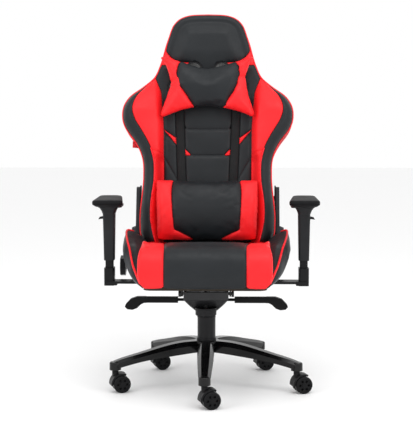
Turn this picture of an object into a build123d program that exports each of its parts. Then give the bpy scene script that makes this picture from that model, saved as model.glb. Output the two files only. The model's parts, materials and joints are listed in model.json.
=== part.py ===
from build123d import *
import math
import os

# Gaming chair with a reclining backrest, rocking seat, gas lift and five twin-wheel casters.
# Millimetres. +Z is up and the chair faces -Y. The origin is on the floor, on the column's axis.
# Left and right are the sitter's: left is the +X side and right is the -X side.

SIDES = {"left": 1, "right": -1}
GAP = 0.3  # clearance between faces that move past each other

# Star base and casters
LEG_COUNT = 5
STEM_RADIUS = 327
FIRST_LEG_ANGLE = -90
BOSS_R = 20
BOSS_BOTTOM = 79
BOSS_TOP = 107
HUB_R = 45
HUB_BOTTOM = 125
HUB_TOP = 165
WHEEL_R = 30
WHEEL_WIDTH = 21
WHEEL_INSET = 4.3
CASTER_TRAIL = 20
CASTER_TURN = 17
STEM_R = 5.5
AXLE_R = 3

# Gas lift
COLUMN_R = 25
PISTON_R = 14
COLUMN_TOP = 252
LIFT_TOP = 264

# Tilt mechanism
TILT_Y = -45
TILT_Z = 335
TILT_AXLE_R = 6
HOUSING_HALF = 76
LEVER_Y = -30
LEVER_Z = 311
LEVER_HEIGHT = 21
KNOB_Y = -95

# Seat
PLATE_BOTTOM = 355.5
PLATE_TOP = 361
PAN_BOTTOM = 374
PAN_TOP = 384.5
CUSHION_HALF = 216
SEAT_FRONT = -266
SEAT_REAR = 185
BOLSTER_REAR = 138

# Backrest: a plane that leans back; "along" runs up the back and "out" comes forward
LEAN = 10
BACK_FOOT_Y = 158.8
BACK_FOOT_Z = 445
CORE_BACK = -55
CORE_FRONT = 6
WING_FRONT = 60
SHELL_BACK = -95
PANEL_HALF = 160
RECLINE_Y = 215
RECLINE_Z = 430
RECLINE_SHAFT_R = 6
SIDE_PLATE_X = 244.5
SIDE_PLATE_THICK = 5

# Half outline of the backrest: half width, then height along the back
OUTLINE = [
    (222, 41), (241, 110), (231, 250), (231, 334), (262, 409), (304, 477), (306, 528),
    (275, 579), (194, 646), (163, 722), (141, 797), (106, 861), (62, 876), (0, 879),
]

# Welded frame inside the backrest
FRAME_OUT = -73
FRAME_TUBE_R = 10
FRAME_CROSS_TUBES = (95, 210)

# Harness openings through the neck of the backrest
SLOT_X = 83.5
SLOT_ALONG = 641.5
SLOT_LENGTH = 141
SLOT_WIDTH = 46
SLOT_ANGLE = 45
BEZEL_WALL = 4
BEZEL_LIP = 8
STRAP_ALONG = 636
STRAP_WIDTH = 26

# Armrests
ARM_X = 338
BAR_BOTTOM = 365.5
BAR_TOP = 373.5
SLEEVE_BOTTOM = 446
NECK_BOTTOM = 607
SLEEVE_TOP = 632
POST_HALF_X = 13.2
POST_HALF_Y = 18
NECK_WIDTH = 41.5
NECK_DEPTH = 52
TURNTABLE_TOP = 639
PAD_TOP = 663
# corners of the pad's plan: straight outside, wider to the front on the inside
PAD_PLAN = [(304, 130), (385, 130), (387, -120), (280, -120)]

BACK = Plane(
    origin=(0, BACK_FOOT_Y, BACK_FOOT_Z),
    x_dir=(1, 0, 0),
    z_dir=(0, -math.cos(math.radians(LEAN)), math.sin(math.radians(LEAN))),
)


def block(x0, x1, y0, y1, z0, z1):
    """Box between two corners."""
    centre = Pos((x0 + x1) / 2, (y0 + y1) / 2, (z0 + z1) / 2)
    return centre * Box(x1 - x0, y1 - y0, z1 - z0)


def rod(radius, z0, z1, x=0, y=0):
    """Upright cylinder."""
    return Pos(x, y, (z0 + z1) / 2) * Cylinder(radius, z1 - z0)


def cross_rod(radius, x0, x1, y, z):
    """Cylinder along X."""
    return Pos((x0 + x1) / 2, y, z) * Rot(0, 90, 0) * Cylinder(radius, x1 - x0)


def face_of(points):
    return make_face(Polyline(*points, close=True))


def side_profile(points, x0, x1):
    """Outline of (y, z) points, extruded from x0 to x1."""
    return extrude(Plane.YZ.offset(x0) * face_of(points), x1 - x0)


def front_profile(points, y0, y1):
    """Outline of (x, z) points, extruded from y0 to y1."""
    plane = Plane(origin=(0, y0, 0), x_dir=(1, 0, 0), z_dir=(0, 1, 0))
    flipped = [(x, -z) for x, z in points]
    return extrude(plane * face_of(flipped), y1 - y0)


def on_back(sketch, out0, out1):
    """Sketch of (x, along) on the backrest's plane, extruded between two distances out of it."""
    return extrude(BACK.offset(out0) * sketch, out1 - out0)


def back_point(x, along, out):
    """Place on or near the backrest, in the chair's frame."""
    lean = math.radians(LEAN)
    y = BACK_FOOT_Y + along * math.sin(lean) - out * math.cos(lean)
    z = BACK_FOOT_Z + along * math.cos(lean) + out * math.sin(lean)
    return (x, y, z)


def mirrored(shape, side):
    """The shape itself on the left side, and its mirror image on the right."""
    return shape if side > 0 else mirror(shape, about=Plane.YZ)


# ---------------------------------------------------------------- base


def leg():
    """Arched leg along +X: flat top, bevelled shoulders, narrowing towards the caster boss."""
    stations = [
        # distance, width, underside, top
        (20, 60, 126, 165), (70, 60, 124, 164.5), (130, 58, 118, 158),
        (200, 54, 110, 142), (268, 48, 98, 125.5), (STEM_RADIUS + 4, 40, 83, BOSS_TOP + 1),
    ]
    sections = []
    for distance, width, low, high in stations:
        bevel = width * 0.24
        drop = (high - low) * 0.36
        half = width / 2
        outline = face_of([
            (-half + 4, low), (half - 4, low), (half, high - drop),
            (half - bevel, high), (-half + bevel, high), (-half, high - drop),
        ])
        plane = Plane(origin=(distance, 0, 0), x_dir=(0, 1, 0), z_dir=(1, 0, 0))
        sections.append(plane * outline)
    return loft(sections)


def star_base():
    """Moulded five-leg base with a hub and a socket at each leg's end."""
    hub = rod(HUB_R, HUB_BOTTOM, HUB_TOP)
    body = fillet(hub.edges().group_by(Axis.Z)[-1], 4)
    boss = rod(BOSS_R, BOSS_BOTTOM, BOSS_TOP, x=STEM_RADIUS)
    boss = fillet(boss.edges().group_by(Axis.Z)[-1], 6)
    socket = rod(STEM_R + 0.15, BOSS_BOTTOM - 1, BOSS_TOP - 6, x=STEM_RADIUS)
    # the leg's end is round about the caster stem
    nose = Pos(STEM_RADIUS, 0, 120) * Cylinder(23, 100)
    reach = block(0, STEM_RADIUS, -40, 40, 60, 180) + nose
    one_leg = (leg() & reach) + boss
    for index in range(LEG_COUNT):
        angle = FIRST_LEG_ANGLE + index * 360 / LEG_COUNT
        body = body + Rot(0, 0, angle) * one_leg
    for index in range(LEG_COUNT):
        angle = FIRST_LEG_ANGLE + index * 360 / LEG_COUNT
        body = body - Rot(0, 0, angle) * socket
    return body - rod(COLUMN_R + 0.05, HUB_BOTTOM - 10, HUB_TOP + 10)


def column_tube():
    """Outer tube of the gas lift, pressed into the hub, with its closed foot."""
    tube = rod(COLUMN_R, 88, COLUMN_TOP) - rod(PISTON_R + GAP, 94, COLUMN_TOP + 1)
    clip = rod(9, 82, 88)
    return tube + clip


def cover_lower():
    """Lower sleeve of the telescopic column cover, standing on the hub."""
    flare = rod(34, HUB_TOP + 0.2, 172)
    body = rod(31.5, 172, 245)
    lip = rod(32.5, 245, 248.5)
    sleeve = flare + body + lip
    return sleeve - rod(29.6, HUB_TOP, 250)


def gas_cylinder():
    """Moving gas cylinder with its taper and release button."""
    shaft = rod(PISTON_R, 98, 296)
    taper = Pos(0, 0, 313) * Cone(PISTON_R, 12.8, 34)
    button = rod(4, 330, 336)
    return shaft + taper + button


def cover_upper():
    """Upper sleeve of the column cover, hanging from the top of the gas cylinder."""
    sleeve = rod(29, 168, LIFT_TOP) - rod(26.4, 167, LIFT_TOP - 2.5)
    return sleeve - rod(PISTON_R + 0.1, 160, LIFT_TOP + 1)


# ---------------------------------------------------------------- casters


def caster_place(index):
    """Where a caster stands: its stem on the leg's socket, turned so that it trails."""
    angle = math.radians(FIRST_LEG_ANGLE + index * 360 / LEG_COUNT)
    x = STEM_RADIUS * math.cos(angle)
    y = STEM_RADIUS * math.sin(angle)
    return Pos(x, y, 0) * Rot(0, 0, CASTER_TURN)


def caster_fork():
    """Caster body: hood, web between the wheels, stem and axle, the stem and axle apart."""
    axle_at = Pos(CASTER_TRAIL, 0, WHEEL_R) * Rot(90, 0, 0)
    hood = axle_at * (Cylinder(38, 42) - Cylinder(32, 44))
    window = front_profile([(-30, 26), (-30, 90), (46, 90), (CASTER_TRAIL, WHEEL_R)], -30, 30)
    hood = hood & window
    web = axle_at * Cylinder(33, 2 * (WHEEL_INSET - GAP) - 1)
    web = web & (window + axle_at * Cylinder(13, 20))
    boss = rod(11, 58, 75)
    hollow = axle_at * Cylinder(32, 60)
    boss = boss - hollow
    body = hood + web + boss
    stem = rod(STEM_R, 66, BOSS_TOP - 7)
    collar = rod(8, 75, 78.4)
    axle = axle_at * Cylinder(AXLE_R, 2 * (WHEEL_INSET + WHEEL_WIDTH) - 7)
    body = body - stem - axle
    return [body, stem + collar, axle]


def caster_wheel(side):
    """One wheel: rounded tyre, dished face and six pockets round the hub."""
    disc = Cylinder(WHEEL_R, WHEEL_WIDTH)
    disc = fillet(disc.edges().group_by(Axis.Z)[-1], 5)
    disc = fillet(disc.edges().group_by(Axis.Z)[0], 2)
    dish = Pos(0, 0, WHEEL_WIDTH / 2) * (Cylinder(23, 3) - Cylinder(8, 3))
    wheel = disc - dish
    for spoke in range(6):
        pocket = Rot(0, 0, spoke * 60) * Pos(15.3, 0, WHEEL_WIDTH / 2 - 4) * Cylinder(4.6, 9)
        wheel = wheel - pocket
    wheel = wheel - Pos(0, 0, -3) * Cylinder(AXLE_R + GAP, WHEEL_WIDTH)
    outward = Rot(90, 0, 0) if side < 0 else Rot(-90, 0, 0)
    offset = side * (WHEEL_INSET + WHEEL_WIDTH / 2)
    return Pos(CASTER_TRAIL, offset, WHEEL_R) * outward * wheel


# ---------------------------------------------------------------- mechanism


def tilt_housing():
    """Pressed-steel tilt housing: open tray, bowl under it and the socket for the gas cylinder."""
    tray = side_profile(
        [(-122, 322), (-122, 350), (-60, 353), (-20, 340), (112, 313), (112, 300), (80, 300),
         (60, 322)],
        -HOUSING_HALF, HOUSING_HALF,
    )
    tray = fillet(tray.edges().filter_by(Axis.Z), 8)
    # the bowl narrows in two steps, down to the column
    levels = [(154, 236, 323, -5), (112, 150, 297, -20), (72, 104, 276, -18)]
    rims = [
        Plane.XY.offset(z) * Pos(0, y) * RectangleRounded(width, depth, 14)
        for width, depth, z, y in levels
    ]
    bowl = loft(rims[:2]) + loft(rims[1:])
    well = block(-66, 66, -115, -58, 318, 360)
    well_rear = block(-66, 66, 32, 100, 316, 360)
    body = tray + bowl - well - well_rear
    body = body - block(-66, 66, -59, 33, 334, 360)
    socket = rod(24, 268, 333)
    body = body + socket
    body = body - rod(PISTON_R + GAP, 260, 331.5)
    body = body - rod(7, 330, 340)
    # recess for the knob and a way through for its screw
    body = body - rod(39, 255, 295.5, y=KNOB_Y) - rod(6.5, 270, 360, y=KNOB_Y)
    for side in SIDES.values():
        slot = cross_rod(10, 62, 80, LEVER_Y, LEVER_Z)
        body = body - mirrored(slot, side)
    return body - cross_rod(TILT_AXLE_R + 0.2, -90, 90, TILT_Y, TILT_Z)


def tilt_axle():
    """Pin on which the seat plate rocks, with a washer and head at each end."""
    pin = cross_rod(TILT_AXLE_R, -94, 94, TILT_Y, TILT_Z)
    for side in SIDES.values():
        head = cross_rod(12, 87, 96, TILT_Y, TILT_Z)
        pin = pin + mirrored(head, side)
    return pin


def tilt_spring():
    """Rocking spring round the tension screw, inside the housing."""
    turns = 4
    pitch = 6.8
    path = Pos(0, KNOB_Y, 321.5) * Helix(pitch=pitch, height=turns * pitch, radius=14)
    start = path @ 0
    section = Plane(origin=start, z_dir=path % 0) * Circle(2.6)
    return sweep(section, path=path)


def tension_knob():
    """Fluted knob under the housing that loads the rocking spring, on its screw."""
    knob = rod(36, 268, 294, y=KNOB_Y)
    knob = fillet(knob.edges().group_by(Axis.Z)[0], 4)
    knob = knob + rod(37.5, 287, 290, y=KNOB_Y)
    for flute in range(18):
        angle = math.radians(flute * 20)
        x = 38.5 * math.cos(angle)
        y = KNOB_Y + 38.5 * math.sin(angle)
        knob = knob - rod(3.4, 260, 286, x=x, y=y)
    screw = rod(5.5, 290, 351, y=KNOB_Y)
    return knob + screw


def lever(side):
    """Flat hand lever with a drooping paddle, on a round shaft that enters the housing."""
    shaft = cross_rod(5, 67, 104, LEVER_Y, LEVER_Z)
    half = LEVER_HEIGHT / 2
    bar = block(98, 232, LEVER_Y - 7, LEVER_Y + 7, LEVER_Z - half, LEVER_Z + half)
    rib = block(100, 214, LEVER_Y - 9, LEVER_Y - 6, LEVER_Z - 4, LEVER_Z + 4)
    paddle = front_profile(
        [(205, 321.5), (240, 321.5), (262, 314), (279, 296), (283, 287), (274, 278), (256, 276),
         (240, 282), (228, 294), (216, 300.5), (205, 300.5)],
        LEVER_Y - 11, LEVER_Y + 11,
    )
    paddle = fillet(paddle.edges().filter_by(Axis.Y), 5)
    shape = shaft + bar + rib + paddle
    return mirrored(shape, side)


# ---------------------------------------------------------------- seat


def seat_plate():
    """Steel plate that rocks on the tilt axle and carries the seat, with its two ears."""
    plate = block(-86, 86, -115, 112, PLATE_BOTTOM, PLATE_TOP)
    plate = fillet(plate.edges().filter_by(Axis.Z), 12)
    ear_outline = [
        (TILT_Y - 32, PLATE_TOP - 1), (TILT_Y - 18, 327), (TILT_Y + 18, 327),
        (TILT_Y + 42, PLATE_TOP - 1),
    ]
    for side in SIDES.values():
        ear = side_profile(ear_outline, 80, 86)
        plate = plate + mirrored(ear, side)
    plate = plate - rod(8, 350, 370, y=KNOB_Y)
    return plate - cross_rod(TILT_AXLE_R + 0.2, -90, 90, TILT_Y, TILT_Z)


def seat_fasteners():
    """Four spacers with their bolt heads between the seat plate and the pan."""
    pieces = []
    for x in (-70, 70):
        for y in (-100, 90):
            spacer = rod(7, PLATE_TOP, PAN_BOTTOM, x=x, y=y)
            head = rod(6.5, PLATE_BOTTOM - 2, PLATE_BOTTOM, x=x, y=y)
            pieces.append(spacer)
            pieces.append(head)
    pieces.append(block(-27, 27, -112, -96, PLATE_TOP, PAN_BOTTOM))
    return pieces


def seat_pan():
    """Moulded ply pan under the cushion."""
    pan = block(-205, 205, -240, SEAT_REAR - 6, PAN_BOTTOM, PAN_TOP)
    return fillet(pan.edges().filter_by(Axis.Z), 30)


def seat_cushion():
    """Padded seat with a rolled front edge, falling gently to the rear."""
    top = Spline((SEAT_REAR, 466), (0, 500), (-150, 522), (-215, 516), tangents=[(-1, 0.12), (-1, -0.35)])
    roll = Spline((-215, 516), (-255, 482), (SEAT_FRONT, 440), (-260, 386), tangents=[(-1, -0.35), (0.2, -1)])
    bottom = Line((-260, 386), (-255, PAN_TOP + 0.2))
    base = Line((-255, PAN_TOP + 0.2), (SEAT_REAR, PAN_TOP + 0.2))
    rear = Line((SEAT_REAR, PAN_TOP + 0.2), (SEAT_REAR, 466))
    section = make_face([top, roll, bottom, base, rear])
    return extrude(Plane.YZ.offset(-CUSHION_HALF) * section, 2 * CUSHION_HALF)


def seat_bolster(side):
    """Raised side bolster of the seat, low at the front and highest beside the backrest."""
    top = Spline((-262, 404), (-200, 452), (-100, 499), (0, 534), (60, 547), (BOLSTER_REAR, 534))
    rear = Line((BOLSTER_REAR, 534), (BOLSTER_REAR, 386))
    base = Line((BOLSTER_REAR, 386), (-258, 386))
    front = Line((-258, 386), (-262, 404))
    height = extrude(Plane.YZ.offset(CUSHION_HALF + GAP) * make_face([top, rear, base, front]), 90)
    outer = Spline((218, -264), (247, -200), (280, -90), (290, 10), (280, 84), (264, BOLSTER_REAR + 1))
    plan = make_face([
        outer, Line((264, BOLSTER_REAR + 1), (210, BOLSTER_REAR + 1)),
        Line((210, BOLSTER_REAR + 1), (210, -264)), Line((210, -264), (218, -264)),
    ])
    planform = extrude(Plane.XY.offset(380) * plan, 180)
    body = height & planform
    # under-cut: the outer wall slopes in towards the pan
    under = front_profile([(300, 380), (222, 380), (222, 384), (262, 415), (300, 465)], -300, 200)
    body = body - under
    # room for the lower corner of the backrest
    body = body - block(200, 247, 96, 150, 478, 560)
    return mirrored(body, side)


def recline_bracket(side):
    """Steel bracket bolted under the pan that carries the recline pivot."""
    plate = Plane.YZ.offset(238.2) * (
        make_face(Polyline((165, 369), (250, 369), (244, 436), (190, 444), close=True))
        + Pos(RECLINE_Y, RECLINE_Z) * Circle(30)
    )
    body = extrude(plate, 5.5)
    foot = block(150, 243.7, 165, 250, 368.5, PAN_BOTTOM - 0.1)
    body = body + foot - cross_rod(RECLINE_SHAFT_R + 0.2, 230, 250, RECLINE_Y, RECLINE_Z)
    return mirrored(body, side)


def recline_shaft():
    """Shaft through both recline pivots, which the lever turns by its hub."""
    shaft = cross_rod(RECLINE_SHAFT_R, -286, 256, RECLINE_Y, RECLINE_Z)
    collars = cross_rod(10, -237.5, -228, RECLINE_Y, RECLINE_Z)
    return shaft + collars + mirrored(collars, -1)


def recline_lever():
    """Recline handle on the right side: hub on the shaft and a thick grip that points forward."""
    hub = cross_rod(20, -293, -283, RECLINE_Y, RECLINE_Z)
    arm = side_profile(
        [(218, 414), (218, 447), (160, 446), (100, 440), (96, 420), (150, 412)], -293, -286.5,
    )
    grip = side_profile(
        [(185, 438), (120, 446), (84, 438), (75, 408), (84, 382), (116, 374), (160, 396)], -309, -291,
    )
    grip = fillet(grip.edges().filter_by(Axis.X), 5)
    body = hub + arm + grip
    return body - cross_rod(RECLINE_SHAFT_R + GAP, -287, -270, RECLINE_Y, RECLINE_Z)


# ---------------------------------------------------------------- backrest


def back_outline(inset=0):
    """Whole outline of the backrest as a face in (x, along), drawn in by an inset."""
    middle = OUTLINE[-1][1] / 2
    points = []
    for half_width, along in OUTLINE:
        inward = inset if along < middle else -inset
        if half_width == 0:
            points.append((0, along - inset))
        else:
            shift = inset if along < 100 or along > 840 else 0
            points.append((half_width - inset, along + math.copysign(shift, inward)))
    right_edge = Spline(*points, tangents=[(0.25, 1), (-1, 0)])
    left_edge = mirror(right_edge, about=Plane.YZ)
    low = points[0]
    bottom = Line((-low[0], low[1]), low)
    return make_face([right_edge, left_edge, bottom])


def harness_slot(grow):
    """Both slanted openings, each grown by a margin."""
    slot = SlotOverall(SLOT_LENGTH + 2 * grow, SLOT_WIDTH + 2 * grow)
    left = Pos(SLOT_X, SLOT_ALONG) * Rot(0, 0, -SLOT_ANGLE) * slot
    right = Pos(-SLOT_X, SLOT_ALONG) * Rot(0, 0, SLOT_ANGLE) * slot
    return left + right


def wing_region(side):
    """Where a side wing is: outside the centre panel and below the neck."""
    x0, x1 = (PANEL_HALF, 320) if side > 0 else (-320, -PANEL_HALF)
    upright = face_of([(x0, 30), (x1, 30), (x1, 640), (x0, 640)])
    return back_outline() & upright


def back_cushion():
    """Centre panel and head of the backrest in one padded piece, with the harness openings."""
    region = back_outline() - wing_region(1) - wing_region(-1)
    core = on_back(region, CORE_BACK, CORE_FRONT)
    return core - on_back(harness_slot(BEZEL_WALL + GAP), CORE_BACK - 1, CORE_FRONT + 1)


def back_wing(side):
    """Padded side wing that comes forward round the sitter."""
    full = on_back(wing_region(side), CORE_BACK, WING_FRONT)
    # the front slopes back from the wing's crest to the centre panel
    section = Plane(origin=back_point(0, 0, 0), x_dir=BACK.x_dir, z_dir=-BACK.y_dir)
    slope = face_of([
        (side * 150, 18), (side * 186, 27), (side * 252, WING_FRONT),
        (side * 252, WING_FRONT + 30), (side * 150, WING_FRONT + 30),
    ])
    return full - extrude(section * slope, -700)


def back_shell():
    """Rear tray of the backrest, hollow for the frame, with walls round the openings."""
    hollow = back_outline(11) - harness_slot(10)
    tray = on_back(back_outline(5), SHELL_BACK, CORE_BACK - 0.2)
    tray = tray - on_back(hollow, SHELL_BACK + 6, CORE_BACK + 1)
    tray = tray - on_back(harness_slot(BEZEL_WALL + GAP), SHELL_BACK - 1, CORE_BACK + 1)
    tray = tray - frame_loop(FRAME_TUBE_R + 0.6)
    for along in FRAME_CROSS_TUBES:
        tray = tray - frame_cross_tube(along, FRAME_TUBE_R + 2)
    return tray


def frame_cross_tube(along, radius):
    """Cross tube of the frame, from one side plate to the other."""
    x, y, z = back_point(0, along, FRAME_OUT)
    return cross_rod(radius, -SIDE_PLATE_X, SIDE_PLATE_X, y, z)


def frame_loop(radius):
    """Bent tube of the frame: up both sides, outside the openings, and across the head."""
    corners = [
        (-150, 80), (-165, 612), (-112, 800), (112, 800), (165, 612), (150, 80),
    ]
    path = FilletPolyline(*[back_point(x, along, FRAME_OUT) for x, along in corners], radius=35)
    section = Plane(origin=path @ 0, z_dir=path % 0) * Circle(radius)
    return sweep(section, path=path)


def back_frame():
    """Welded tube frame in the backrest, with the two side plates that turn on the recline pivot."""
    body = frame_loop(FRAME_TUBE_R)
    for along in FRAME_CROSS_TUBES:
        body = body + frame_cross_tube(along, FRAME_TUBE_R)
    for side in SIDES.values():
        body = body + mirrored(side_plate(), side)
    return body


def side_plate():
    """Side plate of the frame: round at the pivot and running up beside the backrest."""
    upper = back_point(0, 240, FRAME_OUT)
    pivot = Pos(RECLINE_Y, RECLINE_Z) * Circle(28)
    top = Pos(upper[1], upper[2]) * Circle(18)
    shape = make_hull((pivot + top).edges())
    plate = extrude(Plane.YZ.offset(SIDE_PLATE_X) * shape, SIDE_PLATE_THICK)
    return plate - cross_rod(RECLINE_SHAFT_R + 0.2, 240, 260, RECLINE_Y, RECLINE_Z)


def recline_cover(side):
    """Moulded cover over a side plate, wide and flared round the pivot."""
    inner = SIDE_PLATE_X + SIDE_PLATE_THICK + 0.5
    upper = back_point(0, 229, FRAME_OUT)
    middle = back_point(0, 84, FRAME_OUT + 8)
    pivot = Pos(RECLINE_Y, RECLINE_Z)
    blade = make_hull((pivot * Circle(46) + Pos(upper[1], upper[2]) * Circle(24)).edges())
    bell = make_hull((pivot * Circle(60) + Pos(middle[1], middle[2]) * Circle(30)).edges())
    narrow = extrude(Plane.YZ.offset(inner) * blade, 12)
    flare = extrude(Plane.YZ.offset(inner) * bell, 28, taper=22)
    body = narrow + flare
    pocket = make_hull((pivot * Circle(34) + Pos(upper[1], upper[2]) * Circle(20)).edges())
    body = body - extrude(Plane.YZ.offset(inner - 1) * pocket, 9)
    body = body - cross_rod(8, 240, 290, RECLINE_Y, RECLINE_Z)
    return mirrored(body, side)


def harness_bezels():
    """Moulded rims of both openings: a lip on the front and one on the back."""
    ring = harness_slot(BEZEL_WALL) - harness_slot(0)
    lip = harness_slot(BEZEL_LIP) - harness_slot(0)
    rims = on_back(ring, SHELL_BACK - 1, CORE_FRONT + 1)
    front_lip = on_back(lip, CORE_FRONT + 0.2, CORE_FRONT + 6)
    rear_lip = on_back(lip, SHELL_BACK - 5, SHELL_BACK - 0.2)
    return rims + front_lip + rear_lip


def neck_pillow():
    """Neck pillow: wide corners, waisted sides and a fuller middle at the back."""
    outline = make_face(Spline(
        (0, 680), (90, 700), (160, 718), (138, 632), (162, 514), (80, 524), (0, 532), (-80, 524),
        (-162, 514), (-138, 632), (-160, 718), (-90, 700), (0, 680),
    ))
    front = on_back(outline, 31, 88)
    middle = on_back(Pos(0, 610) * RectangleRounded(210, 110, 20), 13, 31)
    return front + middle


def lumbar_pillow():
    """Barrel-shaped lumbar pillow, fuller in the middle at the back."""
    front = on_back(Pos(0, 151) * RectangleRounded(356, 208, 24), 31, 106)
    middle = on_back(Pos(0, 151) * RectangleRounded(270, 150, 20), 8, 31)
    return front + middle


def neck_strap():
    """Elastic strap of the neck pillow: through both openings and across the back."""
    front_out = CORE_FRONT + 3.4
    rear_out = SHELL_BACK - 8.5
    strap = on_back(Pos(0, STRAP_ALONG) * Rectangle(187, STRAP_WIDTH), rear_out - 3, rear_out)
    for side in SIDES.values():
        through = Pos(side * 92, STRAP_ALONG) * Rectangle(3, STRAP_WIDTH)
        tab = Pos(side * 82.5, STRAP_ALONG) * Rectangle(22, STRAP_WIDTH)
        strap = strap + on_back(through, rear_out, front_out)
        strap = strap + on_back(tab, front_out - 3, front_out)
    return strap


def lumbar_straps():
    """Two straps of the lumbar pillow, round the foot of the backrest and up its rear."""
    straps = []
    low = OUTLINE[0][1] - 1.5
    for side in SIDES.values():
        x = side * 90
        front = Pos(x, low + 30) * Rectangle(STRAP_WIDTH, 63)
        front = on_back(front, CORE_FRONT + 0.3, CORE_FRONT + 1.8)
        under = Pos(x, low - 0.6) * Rectangle(STRAP_WIDTH, 1.8)
        under = on_back(under, SHELL_BACK - 2.2, CORE_FRONT + 1.8)
        rear = Pos(x, low + 50) * Rectangle(STRAP_WIDTH, 103)
        rear = on_back(rear, SHELL_BACK - 2.2, SHELL_BACK - 0.4)
        buckle = on_back(Pos(x, low + 92) * Rectangle(34, 26), SHELL_BACK - 6, SHELL_BACK - 2.2)
        straps.append(front + under + rear + buckle)
    return straps


# ---------------------------------------------------------------- armrests


def arm_post(side):
    """Bar under the seat, boot and inner post of an armrest, welded together."""
    bar = block(150, ARM_X + 12, -30, 30, BAR_BOTTOM, BAR_TOP)
    boot = block(ARM_X - 17.5, ARM_X + 17.5, -26, 26, 358, 419)
    boot = fillet(boot.edges().filter_by(Axis.Z), 7)
    foot = block(ARM_X - 27, ARM_X, -26, 26, 359, 374)
    foot = fillet(foot.edges().filter_by(Axis.Z), 5)
    post = block(ARM_X - POST_HALF_X, ARM_X + POST_HALF_X, -POST_HALF_Y, POST_HALF_Y, 400, 603)
    post = fillet(post.edges().filter_by(Axis.Z), 4)
    return mirrored(bar + boot + foot + post, side)


def arm_sleeve(side):
    """Outer sleeve of an armrest: tapered, flared to a neck, with the trigger's slot."""
    levels = [(35.5, 45, SLEEVE_BOTTOM, 6), (NECK_WIDTH, NECK_DEPTH, NECK_BOTTOM, 9)]
    rims = [
        Plane.XY.offset(z) * Pos(ARM_X, 0) * RectangleRounded(width, depth, corner)
        for width, depth, z, corner in levels
    ]
    neck = [
        Plane.XY.offset(NECK_BOTTOM) * Pos(ARM_X, 0) * RectangleRounded(NECK_WIDTH, NECK_DEPTH, 9),
        Plane.XY.offset(NECK_BOTTOM + 12) * Pos(ARM_X, 0) * RectangleRounded(50, 62, 10),
        Plane.XY.offset(SLEEVE_TOP) * Pos(ARM_X, 0) * RectangleRounded(66, 78, 12),
    ]
    body = loft(rims) + loft(neck, ruled=True)
    half_x = POST_HALF_X + 0.5
    half_y = POST_HALF_Y + 0.5
    cavity = block(ARM_X - half_x, ARM_X + half_x, -half_y, half_y, SLEEVE_BOTTOM - 1, 612)
    slot = block(ARM_X + 12, ARM_X + 30, -9, 9, 578, 601)
    return mirrored(body - cavity - slot, side)


def arm_trigger(side):
    """Finger trigger of the height lock, in the sleeve's outer slot."""
    blade = front_profile(
        [(ARM_X + 14.5, 580), (ARM_X + 20, 580), (ARM_X + 22, 590), (ARM_X + 38, 588),
         (ARM_X + 33, 596), (ARM_X + 22, 598.5), (ARM_X + 14.5, 597)],
        -8, 8,
    )
    return mirrored(blade, side)


def arm_turntable(side):
    """Plate on which the pad turns and slides."""
    plate = block(ARM_X - 46, ARM_X + 34, -56, 56, SLEEVE_TOP + GAP, TURNTABLE_TOP)
    plate = fillet(plate.edges().filter_by(Axis.Z), 12)
    return mirrored(plate, side)


def pad_outline(inset, corner):
    """Plan of the pad moved in by a margin, with rounded corners."""
    rear_in, rear_out, front_out, front_in = PAD_PLAN
    outline = face_of([
        (rear_in[0] + inset, rear_in[1] - inset), (rear_out[0] - inset, rear_out[1] - inset),
        (front_out[0] - inset, front_out[1] + inset), (front_in[0] + inset, front_in[1] + inset),
    ])
    return fillet(outline.vertices(), corner)


def arm_pad(side):
    """Soft-touch arm pad: long rounded plate, bevelled underneath."""
    low = TURNTABLE_TOP + GAP
    levels = [(low, 11, 16), (low + 8, 0, 22), (PAD_TOP - 5, 0, 22), (PAD_TOP, 6, 18)]
    rims = [Plane.XY.offset(z) * pad_outline(inset, corner) for z, inset, corner in levels]
    return mirrored(loft(rims, ruled=True), side)


# ---------------------------------------------------------------- all nodes


def chair():
    """Every sub-part by its node name."""
    parts = {
        "star_base": star_base(),
        "column_tube": column_tube(),
        "cover_lower": cover_lower(),
        "gas_cylinder": gas_cylinder(),
        "cover_upper": cover_upper(),
        "tilt_housing": tilt_housing(),
        "tilt_axle": tilt_axle(),
        "tilt_spring": tilt_spring(),
        "tension_knob": tension_knob(),
        "height_lever": lever(-1),
        "lock_lever": lever(1),
        "seat_plate": seat_plate(),
        "seat_fasteners": seat_fasteners(),
        "seat_pan": seat_pan(),
        "seat_cushion": seat_cushion(),
        "recline_shaft": recline_shaft(),
        "recline_lever": recline_lever(),
        "back_cushion": back_cushion(),
        "back_shell": back_shell(),
        "back_frame": back_frame(),
        "harness_bezels": harness_bezels(),
        "neck_pillow": neck_pillow(),
        "neck_strap": neck_strap(),
        "lumbar_pillow": lumbar_pillow(),
        "lumbar_straps": lumbar_straps(),
    }
    for name, side in SIDES.items():
        parts[f"seat_bolster_{name}"] = seat_bolster(side)
        parts[f"recline_bracket_{name}"] = recline_bracket(side)
        parts[f"recline_cover_{name}"] = recline_cover(side)
        parts[f"back_wing_{name}"] = back_wing(side)
        parts[f"arm_post_{name}"] = arm_post(side)
        parts[f"arm_sleeve_{name}"] = arm_sleeve(side)
        parts[f"arm_trigger_{name}"] = arm_trigger(side)
        parts[f"arm_turntable_{name}"] = arm_turntable(side)
        parts[f"arm_pad_{name}"] = arm_pad(side)
    fork = caster_fork()
    wheels = {"inner": caster_wheel(1), "outer": caster_wheel(-1)}
    for index in range(LEG_COUNT):
        place = caster_place(index)
        parts[f"caster_fork_{index + 1}"] = [place * piece for piece in fork]
        for which, wheel in wheels.items():
            parts[f"caster_wheel_{index + 1}_{which}"] = place * wheel
    return parts


os.makedirs("parts", exist_ok=True)
for node, shape in chair().items():
    if isinstance(shape, list):
        solids = [solid for piece in shape for solid in piece.solids()]
        shape = Compound(children=solids)
    export_step(shape, f"parts/{node}.step")
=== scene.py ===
"""Looks of the gaming chair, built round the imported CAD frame. Metres, +Z up, the chair faces -Y."""

import json
import math

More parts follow.
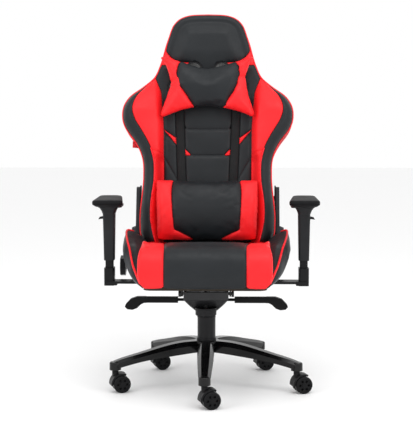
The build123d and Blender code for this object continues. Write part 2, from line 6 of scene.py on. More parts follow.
import bmesh
import bpy
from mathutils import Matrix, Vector, kdtree, noise
from mathutils.geometry import delaunay_2d_cdt


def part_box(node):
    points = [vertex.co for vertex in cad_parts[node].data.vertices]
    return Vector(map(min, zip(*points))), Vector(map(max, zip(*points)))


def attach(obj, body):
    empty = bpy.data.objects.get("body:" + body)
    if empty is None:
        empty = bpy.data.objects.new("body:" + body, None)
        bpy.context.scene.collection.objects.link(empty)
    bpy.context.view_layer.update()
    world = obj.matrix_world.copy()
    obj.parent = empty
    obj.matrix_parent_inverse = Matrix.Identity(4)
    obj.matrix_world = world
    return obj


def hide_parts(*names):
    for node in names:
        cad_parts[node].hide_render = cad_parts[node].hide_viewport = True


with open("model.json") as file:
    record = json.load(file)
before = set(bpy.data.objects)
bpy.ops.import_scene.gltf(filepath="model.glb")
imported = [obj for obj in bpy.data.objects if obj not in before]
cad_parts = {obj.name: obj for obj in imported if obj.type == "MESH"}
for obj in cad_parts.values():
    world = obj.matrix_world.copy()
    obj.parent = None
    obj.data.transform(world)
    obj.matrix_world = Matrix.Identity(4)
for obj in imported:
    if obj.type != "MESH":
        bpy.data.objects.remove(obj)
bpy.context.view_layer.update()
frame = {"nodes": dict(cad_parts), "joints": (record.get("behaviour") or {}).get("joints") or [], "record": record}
SCENE = bpy.context.scene
SIDES = {"left": 1, "right": -1}
MM = 0.001


# ---------------------------------------------------------------- camera, floor and light


def camera(distance=4.25, height=1.0, pitch=5.22, across=0.085, lens=104.2):
    """Camera a little above the armrests, looking slightly down at the chair's front."""
    data = bpy.data.cameras.new("camera")
    data.lens = lens
    data.sensor_width = 36
    data.dof.use_dof = False
    view = bpy.data.objects.new("camera", data)
    SCENE.collection.objects.link(view)
    view.location = (across, -distance, height)
    turn = math.atan2(across, distance)
    view.rotation_euler = (math.radians(90 - pitch), 0, turn)
    SCENE.camera = view


def area_light(name, place, target, size, power):
    """Soft box aimed at a point."""
    data = bpy.data.lights.new(name, "AREA")
    data.shape = "RECTANGLE"
    data.size, data.size_y = size
    data.energy = power
    lamp = bpy.data.objects.new(name, data)
    SCENE.collection.objects.link(lamp)
    lamp.location = place
    aim = Vector(target) - Vector(place)
    lamp.rotation_euler = aim.to_track_quat("-Z", "Y").to_euler()


def studio():
    """Pale sweep, a bright even surround and three large soft boxes."""
    world = bpy.data.worlds.new("surround")
    SCENE.world = world
    world.use_nodes = True
    back = world.node_tree.nodes["Background"]
    back.inputs["Color"].default_value = (1.0, 1.0, 1.0, 1)
    back.inputs["Strength"].default_value = 1.0
    area_light("soft_box_top", (0.3, -1.6, 3.4), (0, 0, 0.8), (2.6, 1.6), 34)
    area_light("soft_box_left", (-2.9, -2.3, 2.3), (0, 0, 0.8), (1.4, 2.2), 26)
    area_light("soft_box_right", (2.9, -2.3, 2.3), (0, 0, 0.8), (1.4, 2.2), 26)
    SCENE.view_settings.view_transform = "Standard"

    mesh = bpy.data.meshes.new("floor")
    bm = bmesh.new()
    bmesh.ops.create_grid(bm, x_segments=8, y_segments=8, size=14)
    bm.to_mesh(mesh)
    bm.free()
    floor = bpy.data.objects.new("floor", mesh)
    SCENE.collection.objects.link(floor)
    paint = bpy.data.materials.new("floor_paint")
    paint.use_nodes = True
    shader = paint.node_tree.nodes["Principled BSDF"]
    shader.inputs["Base Color"].default_value = (0.93, 0.93, 0.93, 1)
    shader.inputs["Roughness"].default_value = 0.75
    floor.data.materials.append(paint)


# ---------------------------------------------------------------- materials


def new_material(name):
    """Material with its node tree and shader."""
    material = bpy.data.materials.new(name)
    material.use_nodes = True
    tree = material.node_tree
    return material, tree, tree.nodes["Principled BSDF"]


def texture(tree, kind, scale, **settings):
    """Noise or Voronoi texture on the piece's own coordinates."""
    place = tree.nodes.get("Texture Coordinate") or tree.nodes.new("ShaderNodeTexCoord")
    node = tree.nodes.new(kind)
    node.inputs["Scale"].default_value = scale
    for key, value in settings.items():
        node.inputs[key].default_value = value
    tree.links.new(place.outputs["Object"], node.inputs["Vector"])
    return node


def ramp(tree, source, low, high, start=0.3, end=0.7):
    """Source turned into values or colours between low and high."""
    node = tree.nodes.new("ShaderNodeValToRGB")
    first, last = node.color_ramp.elements
    first.position, last.position = start, end
    as_color = [(c, c, c, 1) if isinstance(c, float) else (*c, 1) for c in (low, high)]
    first.color, last.color = as_color
    tree.links.new(source, node.inputs["Fac"])
    return node.outputs["Color"]


def bump(tree, source, strength, distance, after=None):
    """Normal raised by the source, on top of an earlier one where there is one."""
    node = tree.nodes.new("ShaderNodeBump")
    node.inputs["Strength"].default_value = strength
    node.inputs["Distance"].default_value = distance
    tree.links.new(source, node.inputs["Height"])
    if after is not None:
        tree.links.new(after, node.inputs["Normal"])
    return node.outputs["Normal"]


def leather(name, dark, light, rough, grain):
    """Coated leather: pebbled grain, fine pores, soft undulation and a slightly uneven colour."""
    material, tree, shader = new_material(name)
    tone = texture(tree, "ShaderNodeTexNoise", 9, Detail=4.0)
    tree.links.new(ramp(tree, tone.outputs["Fac"], dark, light), shader.inputs["Base Color"])
    sheen = texture(tree, "ShaderNodeTexNoise", 35, Detail=3.0)
    tree.links.new(ramp(tree, sheen.outputs["Fac"], *rough), shader.inputs["Roughness"])
    pebble = texture(tree, "ShaderNodeTexVoronoi", 620)
    pore = texture(tree, "ShaderNodeTexNoise", 1400, Detail=2.0)
    wave = texture(tree, "ShaderNodeTexNoise", 26, Detail=2.0)
    normal = bump(tree, wave.outputs["Fac"], 0.12, 0.004)
    normal = bump(tree, pebble.outputs["Distance"], grain, 0.0006, normal)
    normal = bump(tree, pore.outputs["Fac"], grain * 0.5, 0.0003, normal)
    tree.links.new(normal, shader.inputs["Normal"])
    shader.inputs["Specular IOR Level"].default_value = 0.27
    shader.inputs["Sheen Weight"].default_value = 0.02
    return material


def moulded(name, dark, light, rough, grain=900, depth=0.08, coat=0.0, shine=0.2):
    """Moulded plastic or powder-coated metal: fine texture and slight unevenness."""
    material, tree, shader = new_material(name)
    tone = texture(tree, "ShaderNodeTexNoise", 14, Detail=4.0)
    tree.links.new(ramp(tree, tone.outputs["Fac"], dark, light), shader.inputs["Base Color"])
    smear = texture(tree, "ShaderNodeTexNoise", 22, Detail=5.0)
    tree.links.new(ramp(tree, smear.outputs["Fac"], *rough), shader.inputs["Roughness"])
    skin = texture(tree, "ShaderNodeTexNoise", grain, Detail=2.0)
    tree.links.new(bump(tree, skin.outputs["Fac"], depth, 0.0004), shader.inputs["Normal"])
    shader.inputs["Specular IOR Level"].default_value = shine
    shader.inputs["Coat Weight"].default_value = coat
    shader.inputs["Coat Roughness"].default_value = 0.08
    return material


def steel(name, dark, light):
    """Ground steel with faint lengthwise streaks."""
    material, tree, shader = new_material(name)
    tone = texture(tree, "ShaderNodeTexNoise", 60, Detail=6.0)
    tree.links.new(ramp(tree, tone.outputs["Fac"], dark, light), shader.inputs["Base Color"])
    tree.links.new(ramp(tree, tone.outputs["Fac"], 0.22, 0.38), shader.inputs["Roughness"])
    shader.inputs["Metallic"].default_value = 1.0
    return material


def webbing(name, dark, light):
    """Woven polyester band with a fine rib."""
    material, tree, shader = new_material(name)
    weave = tree.nodes.new("ShaderNodeTexWave")
    weave.inputs["Scale"].default_value = 260
    place = tree.nodes.new("ShaderNodeTexCoord")
    tree.links.new(place.outputs["Object"], weave.inputs["Vector"])
    tree.links.new(ramp(tree, weave.outputs["Fac"], dark, light), shader.inputs["Base Color"])
    tree.links.new(bump(tree, weave.outputs["Fac"], 0.5, 0.0006), shader.inputs["Normal"])
    shader.inputs["Roughness"].default_value = 0.85
    return material


# dark and light tone, roughness, then the settings that differ from the usual
PLASTICS = {
    "red_thread": ((0.70, 0.010, 0.014), (0.85, 0.02, 0.022), (0.6, 0.7), {}),
    "black_thread": ((0.010, 0.010, 0.011), (0.018, 0.018, 0.019), (0.6, 0.7), {}),
    "base_plastic": (
        (0.0016, 0.0016, 0.0018), (0.0026, 0.0026, 0.003), (0.16, 0.24),
        {"grain": 700, "depth": 0.03, "coat": 0.2},
    ),
    "trim_plastic": ((0.007, 0.007, 0.008), (0.011, 0.011, 0.0125), (0.34, 0.44), {}),
    "lever_plastic": ((0.0035, 0.0035, 0.004), (0.0055, 0.0055, 0.0062), (0.38, 0.5), {"shine": 0.14}),
    "cover_plastic": ((0.026, 0.026, 0.030), (0.034, 0.034, 0.039), (0.40, 0.5), {}),
    "mechanism_metal": ((0.012, 0.012, 0.013), (0.018, 0.018, 0.020), (0.34, 0.46), {"shine": 0.4}),
    "column_metal": ((0.0045, 0.0045, 0.005), (0.0065, 0.0065, 0.0072), (0.3, 0.4), {"shine": 0.14}),
    "frame_metal": ((0.012, 0.012, 0.012), (0.018, 0.018, 0.018), (0.4, 0.5), {}),
    "arm_metal": ((0.006, 0.0062, 0.007), (0.009, 0.0094, 0.0105), (0.34, 0.44), {"shine": 0.16}),
    "arm_plastic": ((0.011, 0.012, 0.0135), (0.016, 0.0168, 0.019), (0.36, 0.46), {}),
    "pad_soft": (
        (0.004, 0.004, 0.0048), (0.006, 0.006, 0.007), (0.5, 0.62),
        {"grain": 1500, "depth": 0.2, "shine": 0.13},
    ),
    "caster_plastic": ((0.0045, 0.0045, 0.005), (0.0065, 0.0065, 0.0075), (0.36, 0.48), {"shine": 0.16}),
    "wheel_plastic": ((0.0045, 0.0045, 0.005), (0.007, 0.007, 0.008), (0.34, 0.46), {"shine": 0.14}),
    "gloss_trim": (
        (0.0055, 0.0055, 0.0065), (0.008, 0.008, 0.0092), (0.44, 0.54), {"grain": 600, "depth": 0.02},
    ),
    "pan_wood": ((0.030, 0.024, 0.018), (0.045, 0.036, 0.027), (0.6, 0.7), {}),
    "label_red": ((0.72, 0.02, 0.03), (0.80, 0.03, 0.04), (0.6, 0.7), {}),
}
LEATHERS = {
    "red_leather": ((0.86, 0.0085, 0.013), (0.95, 0.014, 0.019), (0.40, 0.52), 0.22),
    "red_piping": ((0.88, 0.0070, 0.015), (0.96, 0.011, 0.020), (0.32, 0.42), 0.22),
    "black_leather": ((0.0068, 0.0086, 0.0105), (0.0102, 0.0124, 0.0148), (0.40, 0.52), 0.22),
    "dark_strip": ((0.0036, 0.0038, 0.0044), (0.0056, 0.0058, 0.0066), (0.62, 0.74), 0.4),
    "back_board": ((0.019, 0.021, 0.024), (0.026, 0.029, 0.033), (0.46, 0.58), 0.22),
}
MATERIALS = {
    "strap_fabric": webbing("strap_fabric", (0.010, 0.010, 0.011), (0.022, 0.022, 0.024)),
    "piston_metal": steel("piston_metal", (0.42, 0.42, 0.43), (0.52, 0.52, 0.53)),
    "spring_steel": steel("spring_steel", (0.20, 0.20, 0.21), (0.30, 0.30, 0.31)),
}
for name, (dark, light, rough, settings) in PLASTICS.items():
    MATERIALS[name] = moulded(name, dark, light, rough, **settings)
for name, (dark, light, rough, grain) in LEATHERS.items():
    MATERIALS[name] = leather(name, dark, light, rough, grain)


def dress_cad():
    """Every CAD node that stays in view gets the finish of its slot."""
    slots = {part["node"]: part["material_slot"] for part in frame["record"]["subparts"]}
    for node, obj in frame["nodes"].items():
        obj.data.materials.clear()
        obj.data.materials.append(MATERIALS[slots[node]])


# ---------------------------------------------------------------- mesh helpers


def make_object(name, verts, faces, finish):
    """Smooth-shaded mesh object with its material."""
    mesh = bpy.data.meshes.new(name)
    mesh.from_pydata([tuple(v) for v in verts], [], faces)
    mesh.validate()
    mesh.shade_smooth()
    obj = bpy.data.objects.new(name, mesh)
    SCENE.collection.objects.link(obj)
    obj.data.materials.append(MATERIALS[finish])
    return obj


def place(obj, body, slot, *nodes):
    """The piece rides on its body and stands for CAD nodes, which it hides. The slot is not used."""
    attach(obj, body)
    if nodes:
        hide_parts(*nodes)
    return obj


def apply_modifiers(obj):
    """The object's mesh with its modifiers applied."""
    graph = bpy.context.evaluated_depsgraph_get()
    mesh = bpy.data.meshes.new_from_object(obj.evaluated_get(graph))
    obj.modifiers.clear()
    obj.data = mesh


def ring_faces(count, rings, flip=False):
    """Faces between rings of the same number of points, and a cap over each end."""
    faces = []
    for ring in range(rings - 1):
        for k in range(count):
            a, b = ring * count + k, ring * count + (k + 1) % count
            faces.append((a, b, b + count, a + count))
    faces.append(tuple(reversed(range(count))))
    faces.append(tuple(range((rings - 1) * count, rings * count)))
    return [tuple(reversed(face)) for face in faces] if flip else faces


def finder(points):
    """Search tree over the points, each with its place in the list."""
    tree = kdtree.KDTree(max(1, len(points)))
    for i, p in enumerate(points):
        tree.insert((p.x, p.y, 0), i)
    tree.balance()
    return tree


def thickened(obj, thickness):
    """The open skin given a thickness behind its outer face."""
    solid = obj.modifiers.new("thickness", "SOLIDIFY")
    solid.thickness = thickness
    solid.offset = -1
    apply_modifiers(obj)


def curve_through(points, step, closed=False):
    """Catmull-Rom curve through the points, resampled at about one step."""
    points = [Vector(p) for p in points]
    count = len(points)
    spans = count if closed else count - 1
    dense = []
    for i in range(spans):
        if closed:
            p0, p1, p2, p3 = (points[(i + k) % count] for k in (-1, 0, 1, 2))
        else:
            p1, p2 = points[i], points[i + 1]
            p0 = points[i - 1] if i else p1 * 2 - p2
            p3 = points[i + 2] if i + 2 < count else p2 * 2 - p1
        for k in range(24):
            t = k / 24
            dense.append(0.5 * (
                2 * p1 + (p2 - p0) * t + (2 * p0 - 5 * p1 + 4 * p2 - p3) * t * t
                + (3 * p1 - 3 * p2 + p3 - p0) * t ** 3
            ))
    dense.append(points[0] if closed else points[-1])
    return resample(dense, step)


def resample(line, step):
    """The same line with evenly spaced points."""
    lengths = [0.0]
    for a, b in zip(line, line[1:]):
        lengths.append(lengths[-1] + (b - a).length)
    total = lengths[-1]
    count = max(1, round(total / step))
    out = []
    seg = 0
    for i in range(count + 1):
        want = total * i / count
        while seg < len(lengths) - 2 and lengths[seg + 1] < want:
            seg += 1
        span = lengths[seg + 1] - lengths[seg]
        t = (want - lengths[seg]) / span if span else 0
        out.append(line[seg].lerp(line[seg + 1], t))
    return out


def profile(points):
    """Smooth function through (position, value) points, flat beyond its ends."""
    points = sorted(points)
    xs = [p[0] for p in points]
    ys = [p[1] for p in points]
    slopes = []
    for i in range(len(xs)):
        lo, hi = max(0, i - 1), min(len(xs) - 1, i + 1)
        slopes.append((ys[hi] - ys[lo]) / (xs[hi] - xs[lo]))

    def value(x):
        if x <= xs[0]:
            return ys[0]
        if x >= xs[-1]:
            return ys[-1]
        i = max(k for k in range(len(xs) - 1) if xs[k] <= x)
        h = xs[i + 1] - xs[i]
        t = (x - xs[i]) / h
        a = (1 + 2 * t) * (1 - t) ** 2
        b = t * (1 - t) ** 2
        c = t * t * (3 - 2 * t)
        d = t * t * (t - 1)
        return a * ys[i] + b * h * slopes[i] + c * ys[i + 1] + d * h * slopes[i + 1]

    return value


def smoothstep(low, high, x):
    """Smooth rise from 0 at low to 1 at high."""
    t = min(1.0, max(0.0, (x - low) / (high - low)))
    return t * t * (3 - 2 * t)


def cord(name, points, radius, finish, body, slot, closed=False):
    """Round cord through points, such as a piping, on a body."""
    curve = bpy.data.curves.new(name, "CURVE")
    curve.dimensions = "3D"
    curve.bevel_depth = radius
    curve.bevel_resolution = 2
    curve.use_fill_caps = True
    spline = curve.splines.new("POLY")
    spline.points.add(len(points) - 1)
    for item, point in zip(spline.points, points):
        item.co = (*point, 1)
    spline.use_cyclic_u = closed
    obj = bpy.data.objects.new(name, curve)
    SCENE.collection.objects.link(obj)
    obj.data.materials.append(MATERIALS[finish])
    graph = bpy.context.evaluated_depsgraph_get()
    mesh = bpy.data.meshes.new_from_object(obj.evaluated_get(graph))
    bpy.data.objects.remove(obj)
    mesh.shade_smooth()
    result = bpy.data.objects.new(name, mesh)
    SCENE.collection.objects.link(result)
    place(result, body, slot)


THREAD_RADIUS = 0.00055
STITCH_STEP = 0.0022


def stitches(name, row, finish):
    """Thread stitches along (point, normal) pairs one step apart; each stitch spans two steps of three."""
    radius = THREAD_RADIUS
    verts, faces = [], []
    for i in range(0, len(row) - 2, 3):
        (a, normal), (b, _) = row[i], row[i + 2]
        along = b - a
        if along.length < 1e-6:
            continue
        across = along.cross(normal).normalized()
        first = len(verts)
        for share, lift in ((0.0, -0.6), (0.2, 0.6), (0.8, 0.6), (1.0, -0.6)):
            centre = a + along * share + normal * (radius * lift)
            for k in range(6):
                angle = k * math.pi / 3
                verts.append(centre + (across * math.cos(angle) + normal * math.sin(angle)) * radius)
        faces += [tuple(first + i for i in face) for face in ring_faces(6, 4)]
    return make_object(name, verts, faces, finish)


# ---------------------------------------------------------------- place on the backrest

JOINTS = {joint["name"]: joint for joint in frame["joints"]}
UP = Vector(JOINTS["neck_pillow_slide"]["axis"])
OUT = Vector((0, -UP.z, UP.y))
ACROSS = Vector((1, 0, 0))
CORE_BACK = -55 * MM
CORE_FRONT = 6 * MM
BACK_LOW = 41 * MM
core_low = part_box("back_cushion")[0]
BACK_FOOT = Vector((
    0,
    core_low.y - BACK_LOW * UP.y - CORE_FRONT * OUT.y,
    core_low.z - BACK_LOW * UP.z - CORE_BACK * OUT.z,
))


def back_point(x, along, out):
    """Place given by its distance across, up and out of the backrest."""
    return BACK_FOOT + ACROSS * x + UP * along + OUT * out


# half width of the outline, of the wing's crest and of the wing's inner edge, up the backrest
OUTLINE = [
    (0.222, 0.041), (0.238, 0.071), (0.241, 0.110), (0.240, 0.157), (0.231, 0.244), (0.229, 0.290),
    (0.231, 0.334), (0.242, 0.373), (0.262, 0.409), (0.290, 0.447), (0.304, 0.477), (0.3078, 0.504),
    (0.305, 0.530), (0.295, 0.554), (0.275, 0.579), (0.235, 0.609), (0.194, 0.646), (0.174, 0.688),
    (0.163, 0.722), (0.152, 0.764), (0.141, 0.797), (0.132, 0.824), (0.123, 0.842), (0.106, 0.860),
    (0.084, 0.871), (0.055, 0.877), (0.0, 0.879),
]
CREST = [
    (0.184, 0.041), (0.192, 0.067), (0.199, 0.100), (0.203, 0.138), (0.202, 0.182), (0.196, 0.226),
    (0.1905, 0.270), (0.1905, 0.320), (0.197, 0.358), (0.208, 0.392), (0.225, 0.425), (0.242, 0.453),
    (0.260, 0.483), (0.271, 0.516), (0.269, 0.544), (0.256, 0.575), (0.231, 0.606), (0.193, 0.6468),
]
INNER = [
    (0.158, 0.041), (0.158, 0.270), (0.1595, 0.452), (0.163, 0.515), (0.166, 0.549), (0.170, 0.588),
    (0.180, 0.616), (0.193, 0.6468),
]
NECK = 0.646
outline_at = profile([(w, x) for x, w in OUTLINE[:-1]] + [(0.879, 0.01)])
crest_at = profile([(w, x) for x, w in CREST])
inner_at = profile([(w, x) for x, w in INNER])

SLOT_CENTRE = (83.5 * MM, 641.5 * MM)
SLOT_HALF = 47.4 * MM
SLOT_RADIUS = 23 * MM
SLOT_MARGIN = 6 * MM
SLOT_ANGLE = math.radians(45)
STEP = 0.005


def slot_loop():
    """Cut round the slanted harness opening on the left side, as a closed line."""
    cx, cw = SLOT_CENTRE
    along = Vector((math.cos(SLOT_ANGLE), -math.sin(SLOT_ANGLE)))
    radius = SLOT_RADIUS + SLOT_MARGIN
    points = []
    for end, start_angle in ((1, -math.pi / 2), (-1, math.pi / 2)):
        centre = Vector((cx, cw)) + along * SLOT_HALF * end
        for k in range(13):
            angle = start_angle + math.pi * k / 12 - SLOT_ANGLE
            points.append(centre + Vector((math.cos(angle), math.sin(angle))) * radius)
    points.append(points[0])
    return resample([p.to_3d() for p in points], STEP)


def outline_loop():
    """The backrest's whole outline as a flat closed line."""
    right = curve_through([(x, w, 0) for x, w in OUTLINE], STEP)
    left = [Vector((-p.x, p.y, 0)) for p in reversed(right[:-1])]
    bottom = resample([left[-1], right[0]], STEP)
    return right + left + bottom[1:-1]


OUTLINE_LOOP = outline_loop()
OUTLINE_FINDER = finder(OUTLINE_LOOP)


def to_outline(x, w):
    """Distance to the backrest's outline."""
    return OUTLINE_FINDER.find(Vector((x, w, 0)))[2]


def front_form(x, w):
    """How far the backrest's padded front stands out at a place, before seams."""
    s = abs(x)
    edge, crest, inner = outline_at(w), crest_at(w), inner_at(w)
    near = to_outline(x, w)
    out = 0.006
    head = smoothstep(NECK + 0.02, NECK + 0.10, w)
    if head > 0:
        # a soft crease runs round the head inside its border, and the middle is a full dome
        crease = math.exp(-((near - 0.027) / 0.007) ** 2)
        out += head * (0.013 * smoothstep(0.024, 0.075, near) - 0.0028 * crease)
    wing = 0.052 * smoothstep(NECK + 0.004, NECK - 0.13, w)
    if wing > 0 and s > inner - 0.012:
        span = max(1e-4, crest - inner)
        if s <= crest:
            t = max(0.0, (s - inner + 0.012) / (span + 0.012))
            wall = smoothstep(0, min(1.0, 0.034 / (span + 0.012)), t)
            full = 0.50 * wall + 0.50 * math.sin(t * math.pi / 2)
            # beside the lumbar pillow the wall is cut back close to the crest
            low = smoothstep(0.372, 0.330, w)
            out += wing * (full * (1 - low) + low * smoothstep(0.35, 1.0, t) * 0.94)
        else:
            t = (s - crest) / max(1e-4, edge - crest)
            out += wing * (1 - 0.52 * min(1.0, t) ** 1.7)
    roll = 0.017
    if near < roll:
        t = 1 - near / roll
        out -= roll * 0.75 * (1 - math.sqrt(max(0.0, 1 - t * t * 0.96)))
    return out


def front_row(line, lift=-0.0012):
    """Points a stitch step apart on the backrest's front over a flat line, each with its normal."""
    row = []
    for p in resample(line, STITCH_STEP):
        e = 0.0015
        here = front_form(p.x, p.y)
        slope_x = (front_form(p.x + e, p.y) - front_form(p.x - e, p.y)) / (2 * e)
        slope_w = (front_form(p.x, p.y + e) - front_form(p.x, p.y - e)) / (2 * e)
        normal = (OUT - ACROSS * slope_x - UP * slope_w).normalized()
        row.append((back_point(p.x, p.y, here) + normal * lift, normal))
    return row


def beside(line, distance):
    """The same flat line moved sideways."""
    out = []
    for i, p in enumerate(line):
        along = line[min(i + 1, len(line) - 1)] - line[max(i - 1, 0)]
        out.append(p + Vector((-along.y, along.x, 0)).normalized() * distance)
    return out


# ---------------------------------------------------------------- sewn skins


def mirror_line(line):
    """The flat line on the other side of the chair."""
    return [Vector((-p.x, p.y, 0)) for p in line]


def line_2d(*points):
    """Flat straight line through the points, with even steps."""
    return resample([Vector((x, w, 0)) for x, w in points], STEP)


SPACING = 0.0065  # between the free points of a skin
CELL = 0.0019  # no two free points closer than this
SEAM_WIDTH = 0.0042


def sewn_skin(seams, seeds, form, border, holes=(), dip=0.0032, puff=0.004):
    """Triangulated skin inside a border, cut along seams. Seeds say which patch is which.

    Returns each patch's faces by name, and the shared points as (across, along, out)."""
    verts, edges = [], []
    seam_points = []

    def add_line(line, closed, is_seam):
        first = len(verts)
        for p in line:
            verts.append(Vector((p.x, p.y)))
            if is_seam:
                seam_points.append(Vector((p.x, p.y, 0)))
        for i in range(len(line) - 1):
            edges.append((first + i, first + i + 1))
        if closed:
            edges.append((first + len(line) - 1, first))

    add_line(border, True, False)
    for line in holes:
        add_line(line[:-1] if (line[0] - line[-1]).length < 1e-6 else line, True, False)
    for line in seams:
        add_line(line, False, True)

    fixed = finder(verts)
    extra = []
    # rows of points beside each seam carry its dip
    for line in seams:
        for i in range(len(line) - 1):
            a, b = line[i], line[i + 1]
            along = (b - a).normalized()
            across = Vector((-along.y, along.x, 0))
            for distance in (0.0022, 0.0048):
                for sign in (1, -1):
                    extra.append((a + b) / 2 + across * distance * sign)
    xs = [v.x for v in verts]
    ys = [v.y for v in verts]
    row = 0
    y = min(ys)
    while y < max(ys):
        x = min(xs) + (SPACING / 2 if row % 2 else 0)
        while x < max(xs):
            extra.append(Vector((x, y, 0)))
            x += SPACING
        y += SPACING * 0.866
        row += 1
    taken = set()
    for p in extra:
        if fixed.find(p)[2] < 0.0018:
            continue
        key = (round(p.x / CELL), round(p.y / CELL))
        if any((key[0] + i, key[1] + j) in taken for i in (-1, 0, 1) for j in (-1, 0, 1)):
            continue
        taken.add(key)
        verts.append(Vector((p.x, p.y)))
    out = delaunay_2d_cdt(verts, edges, [], 0, 1e-6, True)
    points, faces = out[0], out[2]
    walls = set()
    for edge, originals in zip(out[1], out[4]):
        if originals:
            walls.add(frozenset(edge))
    touching = {}
    for i, face in enumerate(faces):
        for k in range(3):
            touching.setdefault(frozenset((face[k], face[(k + 1) % 3])), []).append(i)
    centres = finder([(points[a] + points[b] + points[c]) / 3 for a, b, c in faces])
    owner = {}
    for name, spots in seeds.items():
        for spot in spots:
            stack = [centres.find((spot[0], spot[1], 0))[1]]
            while stack:
                face = stack.pop()
                if face in owner:
                    continue
                owner[face] = name
                a, b, c = faces[face]
                for pair in ((a, b), (b, c), (c, a)):
                    pair = frozenset(pair)
                    if pair not in walls:
                        stack.extend(f for f in touching[pair] if f not in owner)
    seam_finder = finder(seam_points)
    shaped = []
    for p in points:
        near = seam_finder.find((p.x, p.y, 0))[2]
        lift = puff * (1 - math.exp(-near / 0.022)) - dip * math.exp(-(near / SEAM_WIDTH) ** 2)
        shaped.append((p.x, p.y, form(p.x, p.y) + lift))
    patches = {name: [] for name in seeds}
    for face, name in owner.items():
        patches[name].append(faces[face])
    return patches, shaped


def patch_object(name, patch, shaped, finish, flip=False):
    """One sewn patch as a thin closed piece."""
    used = sorted({i for face in patch for i in face})
    index = {old: new for new, old in enumerate(used)}
    verts = [back_point(*shaped[i]) for i in used]
    faces = [tuple(index[i] for i in (reversed(face) if flip else face)) for face in patch]
    obj = make_object(name, verts, faces, finish)
    thickened(obj, 0.0014)
    return obj


def both(lines):
    """The lines and their mirror images."""
    return list(lines) + [mirror_line(line) for line in lines]


def snapped(lines, targets, reach):
    """Each line's ends moved onto the nearest point of the other lines, so that panels close."""
    out = []
    for i, line in enumerate(lines):
        line = list(line)
        others = [p for k, other in enumerate(lines) if k != i for p in other[1:-1]] + targets
        for end in (0, -1):
            close = min(others, key=lambda p: (p - line[end]).length_squared)
            if (close - line[end]).length < reach:
                line[end] = close.copy()
        out.append(line)
    return out


def strip_x(w, inner):
    """Where an edge of the dark strip is at a height on the backrest."""
    top, low = (0.0880, 0.0775) if inner else (0.1185, 0.1095)
    return low + (top - low) * (w - 0.267) / (0.530 - 0.267)


def front_seams():
    """Seams of the backrest's front, on the left side and mirrored."""
    crest = curve_through([(x, w, 0) for x, w in CREST], STEP)
    inner = curve_through([(x, w, 0) for x, w in INNER], STEP)
    strip_out = line_2d((strip_x(0.041, False), 0.041), (strip_x(0.62, False), 0.605))
    strip_in = line_2d((strip_x(0.041, True), 0.041), (strip_x(0.63, True), 0.642))
    wing_seam = line_2d((crest_at(0.373), 0.373), (inner_at(0.362), 0.362))
    sliver_tip = (inner_at(0.454), 0.454)
    sliver = line_2d(sliver_tip, (strip_x(0.423, False), 0.423))
    sliver_low = line_2d(sliver_tip, (strip_x(0.399, False), 0.399))
    diagonal = line_2d((inner_at(0.352), 0.352), (strip_x(0.268, False), 0.268))
    tri = line_2d((strip_x(0.384, True), 0.384), (0.059, 0.3595))
    tri_low = line_2d((strip_x(0.3595, True), 0.3595), (0.059, 0.3595))
    tick = line_2d((strip_x(0.473, True), 0.473), (0.0785, 0.456))
    dome = [(0.1555, 0.750, 0), (0.146, 0.733, 0), (0.129, 0.7165, 0), (0.101, 0.7035, 0), (0.066, 0.700, 0)]
    dome = curve_through(dome, STEP)
    cheek = line_2d((0.1705, 0.694), (0.094, 0.684), (0.090, 0.679))
    slot = slot_loop()
    halves = [crest, inner, strip_out, strip_in, wing_seam, sliver, sliver_low, diagonal, tri, tri_low, tick]
    halves = both(snapped(halves + [dome, cheek], OUTLINE_LOOP + slot, 0.012))
    middle = snapped([
        line_2d((-0.0785, 0.456), (0.0785, 0.456)),
        line_2d((-0.059, 0.3595), (0.059, 0.3595)),
        line_2d((-0.046, 0.640), (0.046, 0.640)),
    ], [p for line in halves for p in line] + slot + mirror_line(slot), 0.012)
    return halves, middle


def mirrored_spots(*spots):
    """The spots and their mirror images."""
    return [(x * s, w) for x, w in spots for s in (1, -1)]


def backrest_front():
    """Front of the backrest as sewn patches of red and black leather and dark strips. Returns its seams."""
    halves, middle = front_seams()
    holes = both([slot_loop()])
    seeds = {
        "red": mirrored_spots((0.225, 0.50), (0.17, 0.30), (0.1235, 0.4215), (0.077, 0.3645), (0.15, 0.712)),
        "strip": mirrored_spots((0.10, 0.45), (0.093, 0.20)),
        "black": mirrored_spots(
            (0.14, 0.55), (0.135, 0.40), (0.15, 0.30), (0.13, 0.15), (0.285, 0.50), (0.17, 0.67)
        ) + [(0, 0.80), (0, 0.65), (0, 0.52), (0, 0.41), (0, 0.20)],
    }
    patches, shaped = sewn_skin(halves + middle, seeds, front_form, OUTLINE_LOOP, holes)
    for name, finish in (("red", "red_leather"), ("strip", "dark_strip"), ("black", "black_leather")):
        obj = patch_object(f"backrest_front_{name}", patches[name], shaped, finish)
        slot = "red_leather" if name == "red" else "black_leather"
        place(obj, "backrest", slot)
        if name == "black":
            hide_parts("back_cushion", "back_wing_left", "back_wing_right", "back_shell")
    return halves


def rear_form(x, w):
    """Rear of the backrest: gently crowned."""
    near = to_outline(x, w)
    out = -0.086 - 0.008 * smoothstep(0.0, 0.09, near)
    if near < 0.016:
        t = 1 - near / 0.016
        out += 0.012 * (1 - math.sqrt(max(0.0, 1 - t * t * 0.96)))
    return out


